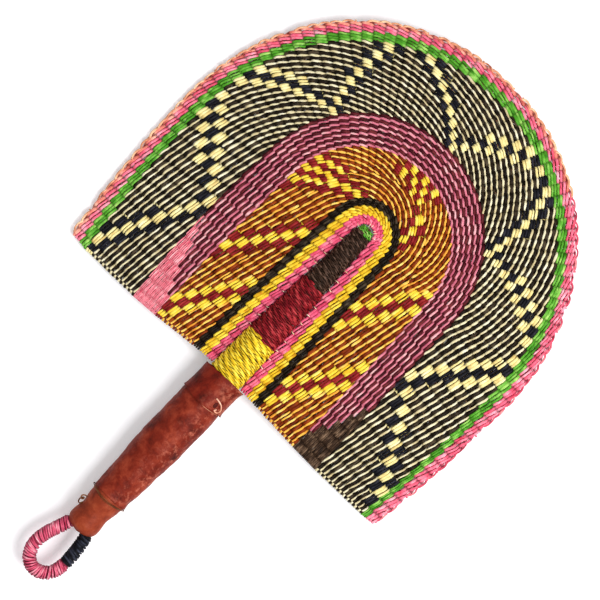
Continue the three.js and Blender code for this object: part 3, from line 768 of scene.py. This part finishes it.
def smooth_route(corners, per_span):
    """Points of a smooth curve through corners."""
    corners = [Vector(corner) for corner in corners]
    padded = [corners[0], *corners, corners[-1]]
    points = []
    for before, start, end, after in zip(padded, padded[1:], padded[2:], padded[3:]):
        leaving = start + (end - before) / 6
        arriving = end - (after - start) / 6
        points += interpolate_bezier(start, leaving, arriving, end, per_span + 1)[:-1]
    return np.array([*points, corners[-1]])


# Stakes show between the straws, and past the rim as stubs. In the rim their dye changes where the salmon
# course ends. Painted shade darkens them under the courses, and less so on the stubs.
STAKE_WIDTH = 1.2
STAKE_THICKNESS = 0.9
STAKE_POINTS = 4
RIM_STUB = 1.3
STUB_SHADE_LIFTS = (0.6, 1)
STAKE_STRAWS = ("undyed", "stub", "stub_pink")
UNDYED, STUB, STUB_PINK = range(3)
UPWARD = np.array([0.0, 0.0, 1.0])

# A stake's bent end: its steps along the rim in stakes, past the rim and up in millimetres.
END_ROUTE = [
    (-0.15, -1.2, 1.0), (0.0, -0.2, 1.5), (0.22, 0.9, 1.0), (0.5, 1.0, 1.0), (0.8, 0.2, 1.6),
    (1.0, -1.2, 1.2),
]
END_CHANCE = 0.9
END_SIZES = (0.5, 1.1)
END_HALF_WIDTHS = (0.5, 0.8)
END_HALF_THICKNESS = 0.45

# A pale tip beside the handle: its chance on the left and on the right, and its route.
TIP_CHANCES = (0.35, 0.65)
TIP_PLACES = (0.32, 0.16, JUST_INSIDE)
TIP_HEIGHTS = (1.2, 1.6, 1.4)
TIP_REACHES = (0.2, 1)
TIP_SLANT = 0.8
TIP_HALF_WIDTHS = (0.16, 0.3)
TIP_HALF_THICKNESS = 0.25


def rim_dye(stake):
    return STUB if stake < RIM.total * SALMON_SHARE else STUB_PINK


def add_stake(straws, band, stake, random):
    """A stake's part under one band. The rim's is longer by a stub."""
    places = np.linspace(band.place(0), band.place(band.courses) - JUST_INSIDE, STAKE_POINTS)
    points = blade(places, np.full(STAKE_POINTS, float(band.t(stake))))
    # Painted shade: a stake is darkened all along where the courses cover it.
    shade_lift = np.zeros(STAKE_POINTS)
    if band is RIM:
        step = unit(points[-1] - points[-2])
        points = np.vstack([points, points[-1] + step * RIM_STUB * random.uniform(0.4, 1)])
        shade_lift = np.concatenate([shade_lift[1:], STUB_SHADE_LIFTS])
    dye = rim_dye(stake) if band is RIM else STUB
    straws.add(points, UPWARD, STAKE_WIDTH / 2, STAKE_THICKNESS / 2, own_seed(random), dye, shade_lift)


def add_bent_end(straws, stake, random):
    """A stake's end that is bent over along the rim."""
    steps, past, up = np.array(END_ROUTE).T
    q = np.clip(stake + steps + random.uniform(-0.1, 0.1), 0, RIM.total)
    here, _, outward, normal = surface(RIM, RIM.courses - 0.5, q)
    size = random.uniform(*END_SIZES)
    route = smooth_route(here + outward * (past * size)[:, None] + normal * up[:, None], 3)
    half_width = random.uniform(*END_HALF_WIDTHS)
    straws.add(route, normal[2], half_width, END_HALF_THICKNESS, own_seed(random), rim_dye(stake))


def add_tip(straws, q, random):
    """A pale tip of straw that sticks out from under the inmost course."""
    chance = TIP_CHANCES[0] if q < INNER_PINK.total / 2 else TIP_CHANCES[1]
    if random.uniform() > chance:
        return
    points = blade(np.array(TIP_PLACES), np.full(3, float(INNER_PINK.t(q))))
    points[-1] += unit(points[-1] - points[-2]) * random.uniform(*TIP_REACHES)
    points[-1, 1] += random.uniform(-TIP_SLANT, TIP_SLANT)
    points[:, 2] += TIP_HEIGHTS
    half_width = random.uniform(*TIP_HALF_WIDTHS)
    straws.add(points, UPWARD, half_width, TIP_HALF_THICKNESS, own_seed(random), UNDYED)


def make_stakes():
    random = np.random.default_rng(11)
    straws = Straws()
    for band in (INNER_PINK, YELLOW, BLACK, INNER_GOLD, OUTER_GOLD, ROSE, NATURAL, GREEN, RIM):
        for stake in range(band.total + 1):
            add_stake(straws, band, stake, random)
    for stake in range(RIM.total):
        if random.uniform() < END_CHANCE:
            add_bent_end(straws, stake, random)
    for stake in range(INNER_PINK.total):
        add_tip(straws, stake + random.uniform(0.35, 0.65), random)
    straws.build("stake_straws", "stakes", STAKE_STRAWS)


make_stakes()


# Windings of the handle: a pair of straws twined round it. Their name, dye, lowest and highest place,
# clearance from the slot's sides there, and turns. The pair crosses a broken number of times in a turn, so
# that its crossings don't line up. Widths and side swings are shares of the pitch.
WINDING_CROSSINGS = 9.37
WINDING_STEPS = 12
WINDING_SWING = 0.28
WINDING_THICKNESS = 0.9
WINDING_SIDE_SWING = 0.36
WINDING_WANDER = 0.11
WINDING_WIDTH_CHANGE = 0.2
WINDING_HALF_WIDTH = 0.26
FRONT_WIDENING = 0.1
# Painted shade: the lift of a winding straw where it lies level, and how much it changes with its height.
WINDING_SHADE_LIFT = 0.62
WINDING_SHADE_LIFT_CHANGE = 0.44
WINDINGS = [
    ("yellow", "handle_yellow", 3.9, 34.0, 0.2, -0.25, 19),
    ("crimson", "handle_crimson", 34.2, 76.0, -0.25, -0.25, 28),
    ("brown", "handle_brown", 76.2, 115.4, 0.3, -0.1, 26),
    ("green", "green", 115.6, 119.6, 0.4, 0.6, 3),
]


def handle_winding(name, colour, low, high, clear_low, clear_high, turns):
    random = np.random.default_rng(turns)
    straws = Straws()
    total = int(turns * WINDING_CROSSINGS)
    q = np.arange(total * WINDING_STEPS + 1) / WINDING_STEPS
    share = q / total
    pitch = (high - low) / turns
    first = slot_half(low) - clear_low
    last = slot_half(high) - clear_high
    radius = first + (last - first) * share - WINDING_THICKNESS / 2 - WINDING_SWING
    angle = 2 * np.pi * turns * share
    radial = np.stack([np.sin(angle), np.zeros(len(q)), np.cos(angle)], 1)
    crossings = np.arange(total + 1)
    for forward in (True, False):
        over, side = swing(q, forward)
        wander = uneven(random, q, crossings, 0, WINDING_WANDER)
        change = uneven(random, q, crossings, 1, WINDING_WIDTH_CHANGE)
        centre = radial * (radius + over * WINDING_SWING)[:, None] + (0, 0, AXIS_HEIGHT)
        centre[:, 1] = low + (high - low) * share + (side * WINDING_SIDE_SWING + wander) * pitch
        width = pitch * (WINDING_HALF_WIDTH + FRONT_WIDENING * np.maximum(over, 0)) * change
        # Painted shade darkens each straw where it passes under the other.
        shade_lift = WINDING_SHADE_LIFT + WINDING_SHADE_LIFT_CHANGE * over
        straws.add(centre, radial, width, WINDING_THICKNESS / 2, own_seed(random), 0, shade_lift)
    straws.build(f"twined_{name}", f"winding_{name}", [colour])


for details in WINDINGS:
    handle_winding(*details)


# Leather sleeves: lumpy rings round the axis, closed by an inner wall. A profile has distances down from the
# sleeve's top, and the radius there.
LEATHER_THICKNESS = 1.0
LEAST_BORE = 0.2
SLEEVE_SIDES = 96
RING_STEP = 0.7
LUMP_SIZE = 9.0
SMALL_LUMP_SIZE = 3.0
SMALL_LUMP_SHARE = 0.4
COLLAR = [(0, 13.4), (8.3, 13.3), (15.9, 13.35), (17.3, 13.7)]
GRIP = [
    (-1.3, 12.3), (0, 13.1), (12.7, 13.2), (33.7, 13.2), (41.7, 12.8), (48.7, 12.1), (63.7, 11.4),
    (70.7, 10.95), (74.1, 11.2),
]
CAP = [
    (-1.3, 9.9), (0, 10.9), (1.9, 10.0), (5.1, 9.9), (7.8, 9.3), (12.1, 8.6), (17.3, 9.5), (20.8, 9.8),
    (23.9, 8.6), (25.9, 5.6), (26.65, 0.4),
]
SLEEVE_GAP = 0.3
CAP_LENGTH = 26.7
GRIP_TOP = COLLAR_TOP - COLLAR[-1][0] - SLEEVE_GAP
CAP_TOP = GRIP_TOP - GRIP[-1][0] - SLEEVE_GAP
CAP_END = CAP_TOP - CAP_LENGTH

# The collar's edges: how far from its top and hem their shapes reach, how much its front rises and its hem
# flares, and the bells that flare its top and lift and sag its hem: size, angle and spread.
TOP_DEPTH = 3.0
HEM_DEPTH = 2.5
FRONT_RISE = 1.6
RIGHT_RISE = 0.5
HEM_FLARE = 0.35
TOP_FLARE = (2.6, 32, 20)
HEM_LIFT = (0.7, 25, 30)
HEM_SAG = (-1.2, 100, 45)


def smooth_profile(profile):
    """Distances and radii at even steps along a profile with its corners rounded."""
    down, radius = np.array(profile).T
    even = np.linspace(down[0], down[-1], int((down[-1] - down[0]) / RING_STEP) + 1)
    rounded = np.interp(even, down, radius)
    for _ in range(3):
        rounded[1:-1] = (rounded[:-2] + 2 * rounded[1:-1] + rounded[2:]) / 4
    return even, rounded


def lumps(points, size, seed):
    """Smooth noise, one value for each point, with lumps of about a size in millimetres."""
    return np.array([noise.noise(Vector(point) / size + Vector((seed, 0, 0))) for point in points])


def sleeve(name, profile, top, lump, edge=None, solid_end=False):
    """A sleeve of leather with a lumpy outside. edge moves its rings along the axis and outward."""
    angle = 2 * np.pi * np.arange(SLEEVE_SIDES) / SLEEVE_SIDES
    rows = []
    for distance, radius in zip(*smooth_profile(profile)):
        rise, flare = edge(angle, distance) if edge else (0, 0)
        reach = radius + flare
        height = top - distance + rise + 0 * angle
        ring = np.stack([reach * np.cos(angle), height, AXIS_HEIGHT + reach * np.sin(angle)], 1)
        small_lumps = lumps(ring, SMALL_LUMP_SIZE, top + 5) * SMALL_LUMP_SHARE
        bumps = (lumps(ring, LUMP_SIZE, top) + small_lumps) * lump
        ring[:, 0] += bumps * np.cos(angle)
        ring[:, 2] += bumps * np.sin(angle)
        rows.append(ring)
    outer = np.array(rows)
    grid = np.concatenate([outer, inner_wall(outer, solid_end)[::-1]])
    grid[:, :, 2] = np.maximum(grid[:, :, 2], 0)
    faces = grid_faces(len(grid), SLEEVE_SIDES, len(grid))[:, [0, 3, 2, 1]]
    make_mesh(name, f"{name}_leather", grid.reshape(-1, 3), faces, [HIDE[f"leather_{name}"]])


def inner_wall(outer, solid_end):
    """The sleeve's inside, one thickness of leather in from its outside."""
    flat = outer - (0, 0, AXIS_HEIGHT)
    flat[:, :, 1] = 0
    length = np.linalg.norm(flat, axis=2, keepdims=True)
    wall = outer - flat * (1 - np.maximum(length - LEATHER_THICKNESS, LEAST_BORE) / length)
    if solid_end:
        wall[:, :, 1] = np.maximum(wall[:, :, 1], outer[-1, :, 1].mean() + LEATHER_THICKNESS)
    return wall


def bell(angle, size, middle, spread):
    """A size at an angle, falling off to both sides of it, in degrees."""
    return size * np.exp(-((np.degrees(angle) - middle) / spread) ** 2)


def collar_edge(angle, down):
    """The collar's top rises in front of the weave and flares at its right corner, and its hem sags."""
    near_top = np.exp(-down / TOP_DEPTH)
    near_hem = np.exp((down - COLLAR[-1][0]) / HEM_DEPTH)
    front = np.sqrt(np.clip(np.sin(angle), 0, 1))
    rise = near_top * front * (FRONT_RISE + RIGHT_RISE * np.cos(angle))
    rise += near_hem * (bell(angle, *HEM_LIFT) + bell(angle, *HEM_SAG))
    return rise, near_top * bell(angle, *TOP_FLARE) + near_hem * HEM_FLARE


sleeve("collar", COLLAR, COLLAR_TOP, 0.25, collar_edge)
sleeve("grip", GRIP, GRIP_TOP, 0.6)
sleeve("cap", CAP, CAP_TOP, 0.3, None, True)


# Wrist loop: a bent cord under two windings. Each one's dye, start and end as shares of the loop, how many
# straws lie side by side, their turns, thickness, and half width as a share of their spacing.
LOOP_ROUTE = [
    (-5.3, 6.2), (-6.5, 1.2), (-8.2, -4.2), (-10.5, -10.6), (-12.0, -17.2), (-11.4, -23.8), (-8.1, -29.3),
    (-2.6, -31.6), (3.0, -29.8), (6.9, -25), (8.2, -18.6), (8.1, -12.2), (7.6, -6.2), (6.6, -0.6),
    (5.4, 6.2),
]
LOOP_WINDINGS = [
    ("pink", "loop_pink", 0.05, 0.722, 5, 9, 1.3, 0.4),
    ("navy", "navy", 0.728, 0.945, 4, 4, 1.2, 0.54),
]
LOOP_CORD_RADIUS = 2.8
LOOP_CORD_SIDES = 20
DARK_CORD_FROM = 0.722
LOOP_STEPS = 16
LOOP_END_SHARE = 0.02
LOOP_CHANGE = 0.1
LOOP_WIDTH_CHANGE = 1.2
LOOP_DRIFT = 0.28
# Painted shade: the loop's straws are darkest on the cord's sides and lightest on its top and underside.
LOOP_SHADE_LIFT = 0.1
LOOP_SHADE_LIFT_CHANGE = 0.6

# The numbers of straws that are alone in their piece, and how many sides round threads have.
CORD_SEED, HOLE_SEED, THREAD_SEED = 3.0, 4.0, 9.0
THREAD_SIDES = 8


def loop_route(per_span):
    return smooth_route([(x, CAP_END + y, AXIS_HEIGHT) for x, y in LOOP_ROUTE], per_span)


def along_route(points, shares):
    """Points and unit directions at shares of a route's length."""
    length = np.concatenate([[0], np.cumsum(np.linalg.norm(np.diff(points, axis=0), axis=1))])
    at = np.stack([np.interp(shares * length[-1], length, points[:, n]) for n in range(3)], 1)
    return at, unit(np.gradient(at, axis=0)), length[-1]


def loop_winding(name, colour, start, end, straw_count, turns, thickness, fullness):
    """Straws wound side by side round the loop's cord, which sink into it at both ends."""
    random = np.random.default_rng(straw_count)
    count = turns * LOOP_STEPS
    part = np.arange(count + 1) / count
    centre, along, total = along_route(loop_route(12), start + (end - start) * part)
    spacing = total * (end - start) / (straw_count * turns)
    side = np.cross(along, UPWARD)
    raised = np.clip(np.minimum(part, 1 - part) / LOOP_END_SHARE, 0, 1)
    knots = np.arange(2 * turns + 1) / 2
    straws = Straws()
    for straw in range(straw_count):
        turn = 2 * np.pi * (part * turns + straw / straw_count)
        radial = side * np.cos(turn)[:, None] + UPWARD * np.sin(turn)[:, None]
        change = uneven(random, part * turns, knots, 0, LOOP_CHANGE)
        drift = uneven(random, part * turns, knots, 0, LOOP_DRIFT) * spacing
        reach = LOOP_CORD_RADIUS + (thickness / 2 + change) * raised
        middle = centre + radial * reach[:, None] + along * drift[:, None]
        width = spacing * fullness * (1 + change * LOOP_WIDTH_CHANGE)
        # Painted shade darkens the straw on the cord's sides.
        shade_lift = LOOP_SHADE_LIFT + LOOP_SHADE_LIFT_CHANGE * np.abs(radial[:, 2])
        straws.add(middle, radial, width, thickness / 2, own_seed(random), 0, shade_lift, THREAD_SIDES)
    straws.build(f"loop_straw_{name}", f"loop_winding_{name}", [colour])


def make_loop():
    route = loop_route(6)
    straws = Straws()
    dark = (np.arange(len(route)) / (len(route) - 1) > DARK_CORD_FROM).astype(int)
    radius = LOOP_CORD_RADIUS
    straws.add(route, UPWARD, radius, radius, CORD_SEED, dark, sides=LOOP_CORD_SIDES)
    straws.build("loop_cord", "loop_core", ("cord_pink", "cord_dark"))
    for details in LOOP_WINDINGS:
        loop_winding(*details)


make_loop()


# Threads: the tie round the cap's top, its curl, and the thong's curl on the collar beside a hole, drawn as
# a dark oval of painted shade. The pale raw edge of the collar's hem shows on its right half. Heights are
# over the leather.
THREAD_RADIUS = 0.42
THONG_ROUTE = [
    (5.0, -6.9), (7.3, -7.3), (9.7, -8.3), (11.3, -10.3), (11.2, -12.2), (10.1, -13.0), (8.8, -12.7),
    (9.3, -11.6),
]
THONG_HEIGHT = 0.45
HEM_ROUTE = [(2.2, -15.0), (4.8, -14.9), (7.4, -14.6), (9.8, -14.2), (11.8, -13.8)]
HEM_HEIGHT = 0.5
HEM_RADIUS = 0.16
HOLE = (7.3, -10.1)
HOLE_SIZE = (1.4, 1.8)
HOLE_HEIGHT = 0.05
HOLE_THICKNESS = 0.25
KNOT_ROUTE = [
    (-8.6, -96.9, 3.6), (-9.9, -97.1, 3.8), (-11.1, -98.0, 3.6), (-11.2, -99.3, 3.2), (-10.2, -99.9, 3.0),
    (-9.4, -99.2, 3.4), (-9.9, -98.5, 4.0), (-10.9, -100.2, 3.6), (-10.7, -102.0, 3.0), (-9.6, -102.7, 2.6),
    (-8.8, -101.8, 2.6), (-8.6, -100.9, 2.6),
]

# The tie lies lower on the cap's front than at its sides, and lower with each turn.
TIE_RADIUS = 0.16
TIE_TURNS = 3
TIE_STEPS = 24
TIE_TOP = 0.2
TIE_ADVANCE = 0.3
TIE_DIP = 1.2
TIE_SPREAD = 1.5
TIE_HEIGHT = 0.3
TIE_SIDE_HEIGHT = 0.6


def outside_at(profile, down):
    return np.interp(down, *np.array(profile).T)


def from_axis(points):
    """Which way is out from the handle's axis."""
    return unit((points - (0, 0, AXIS_HEIGHT)) * (1, 0, 1))


def thread(straws, corners, radius, material=0):
    """A round thread through corners."""
    route = smooth_route(corners, 6)
    straws.add(route, from_axis(route), radius, radius, THREAD_SEED, material, sides=THREAD_SIDES)


def on_collar(x, y, height):
    """A point over the collar's front."""
    reach = outside_at(COLLAR, COLLAR_TOP - y) + height
    return x, y, AXIS_HEIGHT + math.sqrt(reach ** 2 - x ** 2)


def add_hole_shade(straws):
    """A dark oval on the collar: painted shade that stands in for a hole."""
    steps = np.linspace(-1, 1, 9)
    x, y = HOLE
    half_width, half_height = HOLE_SIZE
    centres = np.array([on_collar(x, y + step * half_height, HOLE_HEIGHT) for step in steps])
    widths = half_width * np.sqrt(1.02 - steps ** 2)
    straws.add(centres, from_axis(centres), widths, HOLE_THICKNESS, HOLE_SEED, 1, sides=THREAD_SIDES)


def make_thong():
    straws = Straws()
    thread(straws, [on_collar(x, y, THONG_HEIGHT) for x, y in THONG_ROUTE], THREAD_RADIUS)
    thread(straws, [on_collar(x, y, HEM_HEIGHT) for x, y in HEM_ROUTE], HEM_RADIUS, 2)
    add_hole_shade(straws)
    straws.build("thong_curl", "collar_thong", ("thong", "hole_shade", "raw_edge"))


def thread_piece(name, corners, radius, node):
    straws = Straws()
    thread(straws, corners, radius)
    straws.build(name, node, ["thread"])


def make_tie():
    corners = []
    for n in range(TIE_TURNS * TIE_STEPS + 1):
        turn = 2 * math.pi * n / TIE_STEPS
        part = n / (TIE_TURNS * TIE_STEPS)
        down = TIE_TOP + TIE_ADVANCE * part + (TIE_DIP + TIE_SPREAD * part) * math.sin(turn) ** 2
        reach = outside_at(CAP, down) + TIE_HEIGHT + TIE_SIDE_HEIGHT * math.cos(turn) ** 2
        corners.append((reach * math.cos(turn), CAP_TOP - down, AXIS_HEIGHT + reach * math.sin(turn)))
    thread_piece("tie_thread", corners, TIE_RADIUS, "cap_tie")
    knot = [(x, y, AXIS_HEIGHT + height) for x, y, height in KNOT_ROUTE]
    thread_piece("tie_curl", knot, THREAD_RADIUS, "cap_tie_knot")


make_thong()
make_tie()


# The handle's core is shown in its CAD shape.
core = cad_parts["handle_core"]
core.data.materials.clear()
core.data.materials.append(HIDE["handle_wood"])


# Floor and world, in metres.
FLOOR_HALF = 3.0
FLOOR_COLOUR = (0.93, 0.93, 0.95, 1)
FLOOR_ROUGHNESS = 0.9
FLOOR_GLOW = 0.18
WHITE = (1, 1, 1, 1)
WORLD_LIGHT = 0.5


def make_floor():
    """A pale floor that the camera sees a little brighter than it is lit."""
    mesh = bpy.data.meshes.new("floor")
    low, high = -FLOOR_HALF, FLOOR_HALF
    mesh.from_pydata([(low, low, 0), (high, low, 0), (high, high, 0), (low, high, 0)], [], [(0, 1, 2, 3)])
    material, tree, shader = new_material("floor")
    seen = tree.nodes.new("ShaderNodeLightPath").outputs["Is Camera Ray"]
    glow = calculate(tree, "MULTIPLY", seen, FLOOR_GLOW)
    fill(tree, shader, Base_Color=FLOOR_COLOUR, Roughness=FLOOR_ROUGHNESS)
    fill(tree, shader, Emission_Color=WHITE, Emission_Strength=glow)
    mesh.materials.append(material)
    put("floor", mesh)


# The photo looks straight down, with the fan's axis turned clockwise from upright.
TURN = math.radians(44.1)
PHOTO_SCALE = 0.56
PHOTO_SIZE = 600
FOOT_PIXEL = (219.5, 382.5)
CAMERA_HEIGHT = 1.4


def from_view(right, up):
    """A step to the right and up in the photo, as a step in the row frame."""
    cos, sin = math.cos(TURN), math.sin(TURN)
    return np.array([right * cos - up * sin, right * sin + up * cos])


def make_camera():
    """A camera over the photo's middle. The blade's foot lands on its pixel of the photo."""
    data = bpy.data.cameras.new("camera")
    data.sensor_width = 36
    view_width = PHOTO_SIZE * PHOTO_SCALE * MM
    data.lens = data.sensor_width * (CAMERA_HEIGHT - AXIS_HEIGHT * MM) / view_width
    half = PHOTO_SIZE / 2
    offset = from_view(half - FOOT_PIXEL[0], FOOT_PIXEL[1] - half)
    x, y = np.array([0, FOOT_Y]) * MM + offset * PHOTO_SCALE * MM
    camera = put("camera", data)
    camera.location = (x, y, CAMERA_HEIGHT)
    camera.rotation_euler = (0, 0, TURN)
    bpy.context.scene.camera = camera


# Two soft square lamps: how far right, up and high in the photo's view they are, their sizes and powers.
LAMPS = [("key", (0.75, -0.5, 1.35), 0.9, 29), ("fill", (-0.9, 0.8, 1.5), 1.4, 5)]


def make_light(name, place, size, power):
    data = bpy.data.lights.new(name, "AREA")
    data.size = size
    data.energy = power
    lamp = put(name, data)
    right, up, height = place
    lamp.location = (*from_view(right, up), height)
    lamp.rotation_euler = (-lamp.location).to_track_quat("-Z", "Y").to_euler()


def make_world():
    world = bpy.data.worlds.new("world")
    world.use_nodes = True
    fill(world.node_tree, world.node_tree.nodes["Background"], Color=WHITE, Strength=WORLD_LIGHT)
    bpy.context.scene.world = world


make_floor()
make_camera()
for lamp_details in LAMPS:
    make_light(*lamp_details)
make_world()
bpy.context.scene.view_settings.view_transform = "Standard"
